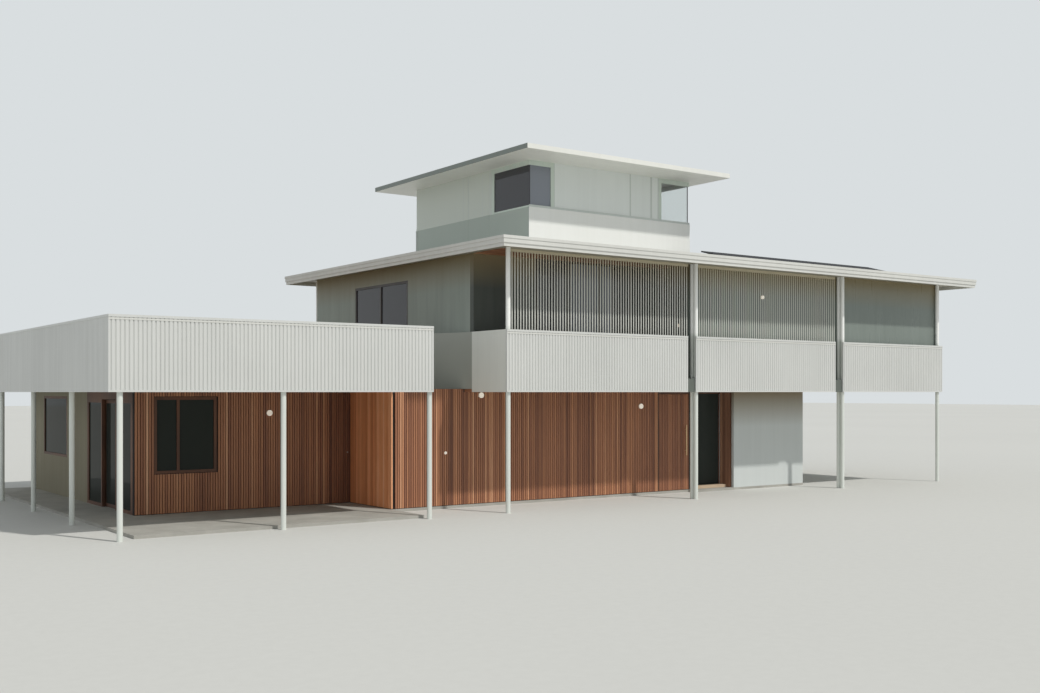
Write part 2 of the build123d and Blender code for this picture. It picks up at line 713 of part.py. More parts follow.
# Pop-up room: smooth white bands below the sill on front and back, walls with corner windows, and its roof
popup_right = popup_left + popup_width
popup_back = popup_setback + popup_room_depth
popup_inner = band_thickness + popup_wall_thickness
popup_band = band(popup_width, roof_top, popup_sill, ribbed=False)
write("popup_bands", [Pos(popup_left, popup_setback, 0) * popup_band,
                      Pos(popup_right, popup_back, 0) * facing_back(popup_band)])
wall_x0 = popup_left + spandrel_step
wall_x1 = popup_right - spandrel_step
wall_y0 = popup_setback + spandrel_step
wall_y1 = popup_back - spandrel_step
lower = block(wall_x0, wall_x1, popup_setback + band_thickness, popup_back - band_thickness,
              roof_top, popup_sill)
lower -= block(popup_left + popup_inner, popup_right - popup_inner, popup_setback + popup_inner,
               popup_back - popup_inner, roof_top - cut_margin, popup_sill + cut_margin)
upper = block(wall_x0, wall_x1, wall_y0, wall_y1, popup_sill, popup_ceiling)
upper -= block(popup_left + popup_inner, popup_right - popup_inner, popup_setback + popup_inner,
               popup_back - popup_inner, popup_sill - cut_margin, popup_ceiling + cut_margin)
left_window_x1 = popup_left + popup_corner_front
right_window_x0 = popup_right - popup_right_window
corner_window_y1 = popup_setback + popup_corner_side
front_inner = popup_setback + popup_inner
for x0, x1 in [(wall_x0 - cut_margin, left_window_x1), (right_window_x0, wall_x1 + cut_margin)]:
    upper -= hole(x0, x1, popup_sill - cut_margin, popup_ceiling + cut_margin, wall_y0, front_inner)
for x0, x1 in [(wall_x0, popup_left + popup_inner), (popup_right - popup_inner, wall_x1)]:
    upper -= swap(hole(wall_y0 - cut_margin, corner_window_y1, popup_sill - cut_margin,
                       popup_ceiling + cut_margin, x0, x1))
write("popup_walls", [lower + upper])


def corner_window(front_width, side_length):
    """Two window frames that meet at an open corner at x = 0, y = 0, with their glass."""
    z0 = popup_sill
    z1 = popup_ceiling
    inside = (z0 + popup_sill_frame, z1 - popup_head)
    frame = block(0, front_width, 0, frame_depth, z0, z1)
    frame -= hole(-cut_margin, front_width - popup_jamb, *inside, 0, frame_depth)
    side = block(0, frame_depth, frame_depth, side_length, z0, z1)
    side -= swap(hole(frame_depth - cut_margin, side_length - popup_jamb, *inside, 0, frame_depth))
    near = (frame_depth - glass_thickness) / 2
    far = near + glass_thickness
    front_pane = block(near, front_width - popup_jamb, near, far, *inside)
    side_pane = block(near, far, far, side_length - popup_jamb, *inside)
    return frame + side, [front_pane, side_pane]


side_run = popup_corner_side - spandrel_step
left_frame, left_panes = corner_window(popup_corner_front - spandrel_step, side_run)
right_frame, right_panes = corner_window(popup_right_window - spandrel_step, side_run)
left_spot = Pos(wall_x0, wall_y0, 0)
right_spot = Pos(wall_x1, wall_y0, 0)
upper_frames += [left_spot * left_frame, right_spot * mirror(right_frame, about=Plane.YZ)]
upper_glass += [left_spot * pane for pane in left_panes]
upper_glass += [right_spot * mirror(pane, about=Plane.YZ) for pane in right_panes]
write("upper_frames", upper_frames)
write("upper_glass", upper_glass)
popup_roof = block(popup_left - popup_side_overhang, popup_right + popup_right_overhang,
                   popup_setback - popup_front_overhang, popup_back + popup_side_overhang,
                   popup_ceiling, popup_top)
write("popup_roof", [popup_roof])
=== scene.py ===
import math
import random

import bmesh
import bpy
from mathutils import Matrix, Vector


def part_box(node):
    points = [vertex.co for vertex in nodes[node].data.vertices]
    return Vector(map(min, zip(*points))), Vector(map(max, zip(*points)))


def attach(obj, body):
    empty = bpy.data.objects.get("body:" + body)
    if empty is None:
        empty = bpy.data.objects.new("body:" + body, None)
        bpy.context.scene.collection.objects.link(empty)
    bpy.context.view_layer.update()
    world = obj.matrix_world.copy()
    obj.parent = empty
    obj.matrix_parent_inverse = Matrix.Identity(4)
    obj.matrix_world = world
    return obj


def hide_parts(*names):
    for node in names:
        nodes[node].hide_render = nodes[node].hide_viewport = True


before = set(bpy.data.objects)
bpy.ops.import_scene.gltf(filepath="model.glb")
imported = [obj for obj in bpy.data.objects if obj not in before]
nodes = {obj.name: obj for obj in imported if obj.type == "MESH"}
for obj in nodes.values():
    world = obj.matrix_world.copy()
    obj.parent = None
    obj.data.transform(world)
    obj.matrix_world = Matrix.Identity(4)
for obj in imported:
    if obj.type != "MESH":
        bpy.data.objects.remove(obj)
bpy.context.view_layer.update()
random.seed(7)


# colours are written as sRGB hex and turned to linear here
def hexColour(code):
    values = [int(code[i:i + 2], 16) / 255 for i in (1, 3, 5)]
    return [v / 12.92 if v <= 0.04045 else ((v + 0.055) / 1.055) ** 2.4 for v in values] + [1]


def addNode(tree, kind, settings=None, inputs=None):
    node = tree.nodes.new(kind)
    for name, value in (settings or {}).items():
        setattr(node, name, value)
    for name, value in (inputs or {}).items():
        if isinstance(value, bpy.types.NodeSocket):
            tree.links.new(value, node.inputs[name])
        else:
            node.inputs[name].default_value = value
    return node


def newMaterial(name):
    material = bpy.data.materials.new(name)
    material.use_nodes = True
    tree = material.node_tree
    shader = tree.nodes["Principled BSDF"]
    return material, tree, shader


def setRamp(ramp, stops):
    elements = ramp.color_ramp.elements
    while len(elements) < len(stops):
        elements.new(0.5)
    for element, (position, colour) in zip(elements, stops):
        element.position = position
        element.color = hexColour(colour)


# picks what edit mode works on
def selectOnly(*objects):
    bpy.ops.object.select_all(action="DESELECT")
    for obj in objects:
        obj.select_set(True)
    bpy.context.view_layer.objects.active = objects[0]


def pickParts(obj, kind, rule):
    selectOnly(obj)
    bpy.ops.object.mode_set(mode="EDIT")
    bpy.ops.mesh.select_mode(type=kind)
    bpy.ops.mesh.select_all(action="DESELECT")
    mesh = bmesh.from_edit_mesh(obj.data)
    parts = mesh.faces if kind == "FACE" else mesh.edges
    for part in parts:
        part.select = rule(part)
    mesh.select_flush_mode()
    bmesh.update_edit_mesh(obj.data)


def leaveEdit():
    bpy.ops.object.mode_set(mode="OBJECT")


def upright(edge):
    a, b = edge.verts
    return abs(a.co.z - b.co.z) > 1e-6 and (a.co.xy - b.co.xy).length < 1e-6


def blockAt(name, low, high):
    low, high = Vector(low), Vector(high)
    bpy.ops.object.select_all(action="DESELECT")
    bpy.ops.mesh.primitive_cube_add(size=1, location=(low + high) / 2)
    obj = bpy.context.object
    obj.name = name
    obj.scale = high - low
    bpy.ops.object.transform_apply(location=True, rotation=True, scale=True)
    return obj


def bevelEdges(obj, width, segments=2, rule=lambda edge: True):
    pickParts(obj, "EDGE", rule)
    bpy.ops.mesh.bevel(offset=width, segments=segments)
    leaveEdit()


# block with softened edges, for a strip, trim or cover
def trimAt(name, low, high, edge=0.002):
    obj = blockAt(name, low, high)
    bevelEdges(obj, edge, 1)
    return obj


def discAt(name, centre, radius, depth, direction, vertices=32):
    bpy.ops.object.select_all(action="DESELECT")
    bpy.ops.mesh.primitive_cylinder_add(vertices=vertices, radius=radius, depth=depth, location=centre,
                                        rotation=Vector(direction).to_track_quat("Z", "Y").to_euler())
    obj = bpy.context.object
    obj.name = name
    bpy.ops.object.transform_apply(location=True, rotation=True, scale=True)
    return obj


def repeatPiece(obj, count, step, merged=False):
    array = obj.modifiers.new("row", "ARRAY")
    array.use_relative_offset = False
    array.use_constant_offset = True
    array.constant_offset_displace = step
    array.count = count
    array.use_merge_vertices = merged
    array.merge_threshold = 0.0001
    selectOnly(obj)
    bpy.ops.object.modifier_apply(modifier="row")


def joinPieces(pieces, name):
    selectOnly(*pieces)
    if len(pieces) > 1:
        bpy.ops.object.join()
    pieces[0].name = name
    return pieces[0]


def copyPiece(model, place):
    copy = model.copy()
    copy.data = model.data.copy()
    bpy.context.collection.objects.link(copy)
    copy.data.transform(place)
    return copy


def setTone(obj, tone):
    values = obj.data.attributes.new("boardTone", "FLOAT", "POINT").data
    values.foreach_set("value", [tone] * len(values))
    return obj


def finishPiece(obj, body, material, smooth=None):
    obj.data.materials.clear()
    obj.data.materials.append(material)
    if smooth:
        selectOnly(obj)
        bpy.ops.object.shade_smooth_by_angle(angle=math.radians(smooth))
    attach(obj, body)
    return obj


# planes of the frame that the pieces are set from: left end of bay 1, face of the front bands
ribs = {"pitch": 0.076, "groove": 0.030, "thick": 0.045, "base": 0.030, "cap": 0.045, "capProud": 0.008}
bandLow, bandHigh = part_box("band_bay_1")
frontX, frontY = bandLow.x, bandLow.y + ribs["capProud"]
soffit, bandTop = bandLow.z, bandHigh.z
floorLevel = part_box("upper_floor")[1].z
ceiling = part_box("main_posts")[1].z
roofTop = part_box("main_roof")[1].z
popupLow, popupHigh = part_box("popup_walls")
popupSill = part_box("popup_bands")[1].z


# point given along the front, into the house and above the ground
def at(along, inward, height):
    return Vector((frontX + along, frontY + inward, height))


print("stage: materials")


def surfaceNoise(tree, scale, detail=3, roughness=0.5, stretch=(1, 1, 1)):
    coords = addNode(tree, "ShaderNodeTexCoord")
    mapping = addNode(tree, "ShaderNodeMapping", None,
                      {"Vector": coords.outputs["Object"], "Scale": stretch})
    return addNode(tree, "ShaderNodeTexNoise", None, {"Vector": mapping.outputs["Vector"], "Scale": scale,
                                                       "Detail": detail, "Roughness": roughness})


# rises from 0 to 1 between two places along an axis of the object
def fade(tree, axis, start, end):
    coords = addNode(tree, "ShaderNodeTexCoord")
    parts = addNode(tree, "ShaderNodeSeparateXYZ", None, {"Vector": coords.outputs["Object"]})
    return addNode(tree, "ShaderNodeMapRange", None, {"Value": parts.outputs[axis], "From Min": start,
                                                      "From Max": end}).outputs[0]


# is 1 on faces whose normal points down the axis
def facingAgainst(tree, axis):
    geometry = addNode(tree, "ShaderNodeNewGeometry")
    parts = addNode(tree, "ShaderNodeSeparateXYZ", None, {"Vector": geometry.outputs["Normal"]})
    return addNode(tree, "ShaderNodeMath", {"operation": "LESS_THAN"},
                   {0: parts.outputs[axis], 1: -0.7}).outputs[0]


def facingDown(tree):
    return facingAgainst(tree, "Z")


def facingLeft(tree):
    return facingAgainst(tree, "X")


def tintWhere(material, makeFactor, colour):
    tree = material.node_tree
    base = tree.nodes["Principled BSDF"].inputs["Base Color"]
    before = base.links[0].from_socket if base.links else list(base.default_value)
    mix = addNode(tree, "ShaderNodeMix", {"data_type": "RGBA"},
                  {"Factor": makeFactor(tree), "A": before, "B": hexColour(colour)})
    tree.links.new(mix.outputs["Result"], base)
    return material


# paint over metal or board: cloudy tone, rain streaks about 140 mm apart and a fine orange-peel surface
def paintedMaterial(name, light, dark, roughness, grain, bump, cloud=0.35):
    material, tree, shader = newMaterial(name)
    clouds = surfaceNoise(tree, cloud, 4)
    streaks = surfaceNoise(tree, 1, 3, 0.6, (7, 7, 0.4))
    mixed = addNode(tree, "ShaderNodeMix", None, {"Factor": 0.4, "A": clouds.outputs["Fac"],
                                                  "B": streaks.outputs["Fac"]})
    ramp = addNode(tree, "ShaderNodeValToRGB", None, {"Fac": mixed.outputs["Result"]})
    setRamp(ramp, [(0.35, dark), (0.65, light)])
    tree.links.new(ramp.outputs["Color"], shader.inputs["Base Color"])
    fine = surfaceNoise(tree, grain, 2)
    relief = addNode(tree, "ShaderNodeBump", None, {"Height": fine.outputs["Fac"], "Strength": bump,
                                                    "Distance": 0.001})
    tree.links.new(relief.outputs["Normal"], shader.inputs["Normal"])
    gloss = addNode(tree, "ShaderNodeMapRange", None, {"Value": streaks.outputs["Fac"], "From Min": 0.3,
                                                       "From Max": 0.7, "To Min": roughness + 0.05,
                                                       "To Max": roughness - 0.05})
    tree.links.new(gloss.outputs[0], shader.inputs["Roughness"])
    return material


# oiled hardwood: each board has its own tone, with grain lines along it 6 mm apart
def oiledHardwood(name, boards, stops, roughness=0.55):
    material, tree, shader = newMaterial(name)
    grain = surfaceNoise(tree, 1, 5, 0.65, (160, 160, 3))
    figure = surfaceNoise(tree, 1, 3, 0.5, (14, 14, 0.8))
    if boards:
        tone = addNode(tree, "ShaderNodeAttribute", {"attribute_name": "boardTone"}).outputs["Fac"]
    else:
        tone = surfaceNoise(tree, 0.8, 1).outputs["Fac"]
    mixed = addNode(tree, "ShaderNodeMath", {"operation": "MULTIPLY_ADD"},
                    {0: figure.outputs["Fac"], 1: 0.34, 2: tone})
    shifted = addNode(tree, "ShaderNodeMath", {"operation": "SUBTRACT"}, {0: mixed.outputs[0], 1: 0.17})
    ramp = addNode(tree, "ShaderNodeValToRGB", None, {"Fac": shifted.outputs[0]})
    setRamp(ramp, stops)
    lines = addNode(tree, "ShaderNodeMapRange", None, {"Value": grain.outputs["Fac"], "From Min": 0.3,
                                                       "From Max": 0.7, "To Min": 0.78, "To Max": 1.08})
    shade = addNode(tree, "ShaderNodeVectorMath", {"operation": "SCALE"},
                    {0: ramp.outputs["Color"], "Scale": lines.outputs[0]})
    tree.links.new(shade.outputs["Vector"], shader.inputs["Base Color"])
    relief = addNode(tree, "ShaderNodeBump", None, {"Height": grain.outputs["Fac"], "Strength": 0.35,
                                                    "Distance": 0.001})
    tree.links.new(relief.outputs["Normal"], shader.inputs["Normal"])
    shader.inputs["Roughness"].default_value = roughness
    return material


# cast concrete or cut stone: mottled, with pores a few millimetres wide
def castConcrete(name, light, dark):
    material, tree, shader = newMaterial(name)
    clouds = surfaceNoise(tree, 1.4, 6, 0.6)
    ramp = addNode(tree, "ShaderNodeValToRGB", None, {"Fac": clouds.outputs["Fac"]})
    setRamp(ramp, [(0.3, dark), (0.7, light)])
    tree.links.new(ramp.outputs["Color"], shader.inputs["Base Color"])
    pores = surfaceNoise(tree, 220, 3)
    relief = addNode(tree, "ShaderNodeBump", None, {"Height": pores.outputs["Fac"], "Strength": 0.4,
                                                    "Distance": 0.002})
    tree.links.new(relief.outputs["Normal"], shader.inputs["Normal"])
    shader.inputs["Roughness"].default_value = 0.85
    return material


# window glass, tinted or clear and slightly wavy
def glazing(name, tint, clear, index=1.5):
    material, tree, shader = newMaterial(name)
    wave = surfaceNoise(tree, 0.9, 1)
    relief = addNode(tree, "ShaderNodeBump", None, {"Height": wave.outputs["Fac"], "Strength": 0.05,
                                                    "Distance": 0.02})
    tree.links.new(relief.outputs["Normal"], shader.inputs["Normal"])
    shader.inputs["Base Color"].default_value = hexColour(tint)
    shader.inputs["Roughness"].default_value = 0.03
    shader.inputs["IOR"].default_value = index
    shader.inputs["Transmission Weight"].default_value = clear
    return material


# solar cell glass: nearly black cells 156 mm wide with fine grey lines between them, matt from the side
def solarGlass():
    material, tree, shader = newMaterial("solarCellGlass")
    coords = addNode(tree, "ShaderNodeTexCoord")
    parts = addNode(tree, "ShaderNodeSeparateXYZ", None, {"Vector": coords.outputs["Object"]})
    lines = []
    for axis in ("X", "Y"):
        scaled = addNode(tree, "ShaderNodeMath", {"operation": "DIVIDE"},
                         {0: parts.outputs[axis], 1: 0.156})
        cell = addNode(tree, "ShaderNodeMath", {"operation": "FRACT"}, {0: scaled.outputs[0]})
        lines.append(addNode(tree, "ShaderNodeMath", {"operation": "LESS_THAN"},
                             {0: cell.outputs[0], 1: 0.025}).outputs[0])
    either = addNode(tree, "ShaderNodeMath", {"operation": "MAXIMUM"}, {0: lines[0], 1: lines[1]})
    mix = addNode(tree, "ShaderNodeMix", {"data_type": "RGBA"},
                  {"Factor": either.outputs[0], "A": hexColour("#0C0D12"), "B": hexColour("#33373A")})
    tree.links.new(mix.outputs["Result"], shader.inputs["Base Color"])
    shader.inputs["Roughness"].default_value = 0.5
    shader.inputs["Specular IOR Level"].default_value = 0.08
    return material


# metal drawn or brushed along its length: soft streaks in its gloss
def brushedMetal(name, colour, smooth, rough):
    material, tree, shader = newMaterial(name)
    streaks = surfaceNoise(tree, 1, 3, 0.5, (900, 900, 30))
    ramp = addNode(tree, "ShaderNodeMapRange", None, {"Value": streaks.outputs["Fac"], "To Min": smooth,
                                                      "To Max": rough})
    tree.links.new(ramp.outputs[0], shader.inputs["Roughness"])
    shader.inputs["Base Color"].default_value = hexColour(colour)
    shader.inputs["Metallic"].default_value = 1.0
    return material


redBrown = [(0.0, "#724937"), (0.35, "#9E6A4E"), (0.7, "#C18762"), (1.0, "#E4B08C")]
orangeBrown = [(0.0, "#A5603C"), (0.35, "#D98757"), (0.7, "#F8A976"), (1.0, "#FFC69C")]
darkBrown = [(0.0, "#3E281C"), (0.35, "#573827"), (0.7, "#724A33"), (1.0, "#8E6145")]
midBrown = [(0.0, "#5A3E30"), (0.35, "#7A5643"), (0.7, "#9A7059"), (1.0, "#B98B70")]
greyBrown = [(0.0, "#7A6752"), (0.35, "#917C64"), (0.7, "#A89278"), (1.0, "#BDA88D")]

ribbedSheetWhite = paintedMaterial("prepaintedSteelWhite", "#D8D9D6", "#CDCECB", 0.42, 400, 0.06)
foldedTrimWhite = paintedMaterial("foldedSteelTrimWhite", "#DCDCD7", "#D2D2CD", 0.40, 400, 0.05)
popupRoofTrim = paintedMaterial("foldedRoofTrimWhite", "#EFEFE9", "#E7E7E1", 0.40, 400, 0.05)
popupSheetWhite = paintedMaterial("smoothSteelPanelWhite", "#F2F3F0", "#ECEDE9", 0.40, 400, 0.05)
smoothBalustrade = paintedMaterial("smoothPaintedPanel", "#E9EAE3", "#DFE0D9", 0.45, 300, 0.06)
paintedTube = paintedMaterial("paintedSteelTube", "#E4E8E2", "#D8DCD6", 0.38, 600, 0.05)
coatedSlats = paintedMaterial("powderCoatedAluminium", "#D6D7D0", "#CBCCC5", 0.42, 700, 0.08)
verandaSheeting = paintedMaterial("shadedWallSheet", "#4D524C", "#434842", 0.5, 300, 0.06)
wallSheeting = paintedMaterial("greyGreenWallSheet", "#98A199", "#8A938B", 0.5, 300, 0.06)
frontSheeting = paintedMaterial("glossyGreyGreenSheet", "#818A84", "#757E78", 0.3, 300, 0.05)
popupPanels = paintedMaterial("paleWallPanel", "#E9EEEB", "#E1E6E3", 0.5, 300, 0.06)
smoothRender = paintedMaterial("paintedRender", "#D0D5D4", "#CACFCE", 0.75, 160, 0.25)
creamRender = paintedMaterial("creamRender", "#938D79", "#87816D", 0.8, 160, 0.3)
paleFrames = paintedMaterial("greyGreenAluminium", "#D3DED4", "#C8D3C9", 0.38, 600, 0.05)
roofSheeting = paintedMaterial("zincRoofSheet", "#C9CAC6", "#BCBDB9", 0.45, 250, 0.08)
soffitBoard = paintedMaterial("paintedSoffitBoard", "#666C66", "#5D635D", 0.7, 200, 0.12)
wallMembrane = paintedMaterial("blackWallMembrane", "#241A15", "#191210", 0.85, 200, 0.2)
jointPaint = paintedMaterial("greySealantJoint", "#D2D8D4", "#C8CECA", 0.7, 200, 0.1)
opalGlass = paintedMaterial("opalGlass", "#F3F3EE", "#ECECE6", 0.25, 500, 0.03)
opalShader = opalGlass.node_tree.nodes["Principled BSDF"]
opalShader.inputs["Emission Color"].default_value = hexColour("#FFEBD2")
opalShader.inputs["Emission Strength"].default_value = 0.3
concreteFinish = castConcrete("castConcrete", "#B4B2AB", "#9C9A93")
sillStone = castConcrete("paleSandstone", "#CDB79E", "#BCA58B")
boardedTimber = oiledHardwood("oiledHardwoodBoards", True, redBrown)
# painted light: the return wall's boards get a paler, more orange ramp, for the warm light bounced onto
# that wall
returnTimber = oiledHardwood("oiledHardwoodReturn", True, orangeBrown)
liningTimber = oiledHardwood("oiledHardwoodLining", True, midBrown)
frameTimber = oiledHardwood("oiledHardwoodFrames", False, darkBrown)
deckTimber = oiledHardwood("weatheredDeckBoards", True, greyBrown, 0.75)
# painted shade: the glass of the ground floor is a dark, nearly opaque sheet that stands for the shaded
# rooms behind it, and reflects little
windowGlass = glazing("shadeDarkDoubleGlazing", "#3A3E3B", 0.08, 1.12)
windowShader = windowGlass.node_tree.nodes["Principled BSDF"]
windowShader.inputs["Specular IOR Level"].default_value = 0.2
upperGlass = glazing("clearDoubleGlazing", "#FAFDFC", 0.98)
cellGlass = solarGlass()
satinSteel = brushedMetal("brushedSteel", "#B9B7B1", 0.22, 0.38)
agedBrass = brushedMetal("agedBrass", "#E0C79E", 0.5, 0.65)
anodised = brushedMetal("anodisedAluminium", "#C3C5C5", 0.35, 0.5)
blackFrames = paintedMaterial("blackAnodisedFrames", "#26282B", "#202225", 0.5, 500, 0.04)

# heights and places of the tints below, most of which are painted shade, painted light and painted
# reflection; "blend" is the width of a sharp change
tints = {"eaves": 0.75, "soffit": 0.9, "slatTop": 0.6, "postTop": 0.1, "blend": 0.01, "roundStart": 1.335,
         "cornerRight": 4.0, "sidePane": 0.05, "paneBlend": 0.001}


def tintAbove(material, start, end, colour):
    return tintWhere(material, lambda tree: fade(tree, "Z", start, end), colour)


# roof sheet above, painted boards below
tintWhere(roofSheeting, facingDown, "#9D998A")
tintWhere(soffitBoard, facingDown, "#B9B8AD")
# painted shade and painted warm bounce light: walls and slats turn olive and tan towards the eaves and the
# soffit
for sheeting in (wallSheeting, frontSheeting, verandaSheeting):
    tintAbove(sheeting, ceiling - tints["eaves"], ceiling, "#8F8262")
tintAbove(smoothRender, soffit - tints["soffit"], soffit, "#8C7E68")
tintAbove(coatedSlats, ceiling - tints["slatTop"], ceiling, "#CDC2A6")
# painted shade: the round part of the balustrade, deep in the recess, is greyer than its flat side
roundStart = frontY + tints["roundStart"]
roundFull = roundStart + tints["blend"]
tintWhere(smoothBalustrade, lambda tree: fade(tree, "Y", roundStart, roundFull), "#A8AAA2")


def lowerLeft(tree):
    below = fade(tree, "Z", popupSill + tints["blend"], popupSill)
    return addNode(tree, "ShaderNodeMath", {"operation": "MULTIPLY"},
                   {0: facingLeft(tree), 1: below}).outputs[0]


# painted shade: the left side of the pop-up room, its band and the left edge of its roof face away from the
# sun and are darker, most of all below its sill
tintWhere(popupSheetWhite, facingLeft, "#A6AFA9")
tintWhere(popupPanels, facingLeft, "#CFD5CD")
tintWhere(popupPanels, lowerLeft, "#AEB8B0")
tintWhere(popupRoofTrim, facingLeft, "#7F8782")
# painted light: posts are whiter above the balustrades, where they catch more light
tintAbove(paintedTube, bandTop, bandTop + tints["postTop"], "#FCFDFA")
# window frames are dark bronze in the upper storey and pale in the pop-up room
tintAbove(paleFrames, roofTop + tints["blend"], roofTop, "#3B332C")
# painted shade and painted reflection: the glass of the upper storey is darkened for the shaded rooms
# behind it; in the left corner of the pop-up room the front pane is pale blue-grey and the side pane dark
# grey for what they reflect, and less shows through
tintAbove(upperGlass, roofTop + tints["blend"], roofTop, "#1F2322")
cornerX, paneX = frontX + tints["cornerRight"], popupLow.x + tints["sidePane"]
tintWhere(upperGlass, lambda tree: fade(tree, "X", cornerX + tints["blend"], cornerX), "#A4AAB5")
tintWhere(upperGlass, lambda tree: fade(tree, "X", paneX + tints["paneBlend"], paneX), "#4A4A50")
glassTree = upperGlass.node_tree
inCorner = fade(glassTree, "X", cornerX + tints["blend"], cornerX)
clearness = addNode(glassTree, "ShaderNodeMapRange", None,
                    {"Value": inCorner, "To Min": 0.95, "To Max": 0.4})
glassTree.links.new(clearness.outputs[0], glassTree.nodes["Principled BSDF"].inputs["Transmission Weight"])

nodeFinish = {
    "ground_slab": concreteFinish,
    "timber_front_wall": wallMembrane, "timber_return_wall": wallMembrane, "wing_front_wall": wallMembrane,
    "wing_side_wall": creamRender, "wing_back_wall": creamRender,
    "white_wall": smoothRender, "east_ground_wall": smoothRender, "back_ground_wall": smoothRender,
    "entry_frame": frameTimber, "ground_window_frames": frameTimber, "ground_glass": windowGlass,
    "front_door": boardedTimber, "wall_lights": opalGlass, "door_pull": agedBrass,
    "terrace_door": frameTimber, "terrace_door_glass": windowGlass,
    "main_posts": paintedTube, "wing_posts": paintedTube,
    "upper_floor": soffitBoard, "wing_deck": soffitBoard, "link_deck": soffitBoard,
    "band_bay_1": ribbedSheetWhite, "band_bay_2": ribbedSheetWhite, "band_bay_3": ribbedSheetWhite,
    "back_bands": ribbedSheetWhite, "curved_balustrade": smoothBalustrade,
    "wing_band_front": ribbedSheetWhite, "wing_band_west": ribbedSheetWhite,
    "wing_back_bands": ribbedSheetWhite,
    "screen_bay_1": coatedSlats, "screen_bay_2": coatedSlats,
    "veranda_wall": verandaSheeting, "front_upper_wall": frontSheeting, "side_upper_walls": wallSheeting,
    "back_upper_wall": wallSheeting, "upper_frames": paleFrames, "upper_glass": upperGlass,
    "main_roof": roofSheeting, "main_fascia": foldedTrimWhite,
    "popup_bands": popupSheetWhite, "popup_walls": popupPanels, "popup_roof": popupRoofTrim,
    "solar_panels": cellGlass, "solar_racks": anodised,
}
for nodeName, finish in nodeFinish.items():
    mesh = nodes[nodeName].data
    mesh.materials.clear()
    mesh.materials.append(finish)

print("stage: battens")
battens = {"pitch": 0.056, "width": 0.042, "depth": 0.030, "edge": 0.002, "lift": 0.012, "proud": 0.0015,
           "cornerGap": 0.055, "recessRise": 0.068, "recessEnd": 0.04}
lining = {"pitch": 0.088, "width": 0.084, "depth": 0.012, "edge": 0.002, "proud": 0.0005}
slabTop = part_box("ground_slab")[1].z


# upright board one metre tall, its back on the plane y = 0
def boardModel(name, sizes):
    board = blockAt(name, (0, -sizes["depth"], 0), (sizes["width"], 0, 1))
    bevelEdges(board, sizes["edge"], 2, upright)
    return board


batten = boardModel("batten", battens)
liningBoard = boardModel("liningBoard", lining)


# tones lean to mid red-brown, with a pale board now and then
tones = {"middle": 0.42, "spread": 0.13, "paleLift": 0.27, "paleShare": 0.08}


def boardTone(shift=0):
    value = random.gauss(tones["middle"], tones["spread"]) + shift
    lift = tones["paleLift"] if random.random() < tones["paleShare"] else 0
    return min(max(value + lift, 0), 1)


# spans(distance) gives the (bottom, top) pairs of the boards at that distance along the row,
# and shift(distance) how much paler they are
def battenRow(name, start, direction, length, spans, body, shift=lambda distance: 0, model=batten,
              sizes=battens, material=boardedTimber):
    along = Vector(direction)
    angle = math.atan2(along.y, along.x)
    count = int((length - sizes["width"]) / sizes["pitch"]) + 1
    margin = (length - sizes["width"] - (count - 1) * sizes["pitch"]) / 2
    copies = []
    for i in range(count):
        distance = margin + i * sizes["pitch"]
        tone = boardTone(shift(distance))
        proud = random.uniform(0, sizes["proud"])
        for bottom, top in spans(distance):
            spot = Vector(start) + along * distance
            spot.z = bottom
            place = (Matrix.Translation(spot) @ Matrix.Rotation(angle, 4, "Z")
                     @ Matrix.Translation((0, proud, 0)) @ Matrix.Diagonal((1, 1, top - bottom, 1)))
            copies.append(setTone(copyPiece(model, place), tone))
    return finishPiece(joinPieces(copies, name), body, material)


boardFoot = slabTop + battens["lift"]
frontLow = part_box("timber_front_wall")[0]
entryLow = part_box("entry_frame")[0]
rowStart = frontLow.x - battens["cornerGap"]


def frontSpans(distance):
    beforeRing = rowStart + distance + battens["width"] < frontX + battens["recessEnd"]
    return [(boardFoot, soffit + (battens["recessRise"] if beforeRing else 0))]


def fullHeight(distance):
    return [(boardFoot, soffit)]


battenRow("front_wall_battens", (rowStart, frontLow.y, 0), (1, 0, 0), entryLow.x - rowStart, frontSpans,
          "house")
returnLow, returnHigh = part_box("timber_return_wall")
# painted light: the return wall's boards grow paler towards the front, for the warm light bounced onto that
# wall
battenRow("return_wall_battens", (returnLow.x, returnHigh.y - battens["depth"], 0), (0, -1, 0),
          returnHigh.y - returnLow.y, fullHeight, "house", lambda distance: 0.22 * distance - 0.08,
          material=returnTimber)

# outline of the wing's front window, which the battens leave free
windowFrame = {"reach": 0.071, "inset": 0.2, "clear": 0.010}
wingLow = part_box("wing_front_wall")[0]
frontFrame = [v.co for v in nodes["ground_window_frames"].data.vertices
              if v.co.y < wingLow.y + windowFrame["reach"] and v.co.x > wingLow.x + windowFrame["inset"]]
windowLeft, windowRight = min(c.x for c in frontFrame), max(c.x for c in frontFrame)
windowSill, windowHead = min(c.z for c in frontFrame), max(c.z for c in frontFrame)


def wingSpans(distance):
    left = wingLow.x + distance
    if left + battens["width"] > windowLeft and left < windowRight:
        return [(boardFoot, windowSill - windowFrame["clear"]), (windowHead + windowFrame["clear"], soffit)]
    return fullHeight(distance)


# painted shade: boards of the wing darken over the last stretch before the corner, where shade gathers
wingTones = {"start": 0.1, "fall": 0.9, "from": 4.2}
battenRow("wing_wall_battens", (wingLow.x, wingLow.y, 0), (1, 0, 0),
          returnLow.x - battens["depth"] - wingLow.x, wingSpans, "house",
          lambda distance: wingTones["start"] - wingTones["fall"] * max(distance - wingTones["from"], 0))

print("stage: front door and entry")
doorLow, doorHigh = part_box("front_door")
doorCore = blockAt("door_core", (doorLow.x, doorLow.y + battens["depth"], doorLow.z), doorHigh)
bevelEdges(doorCore, 0.002)
finishPiece(doorCore, "front_door", frameTimber)
battenRow("door_battens", (doorLow.x, doorLow.y + battens["depth"], 0), (1, 0, 0), doorHigh.x - doorLow.x,
          lambda distance: [(doorLow.z, doorHigh.z)], "front_door", lambda distance: -0.1)
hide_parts("front_door")

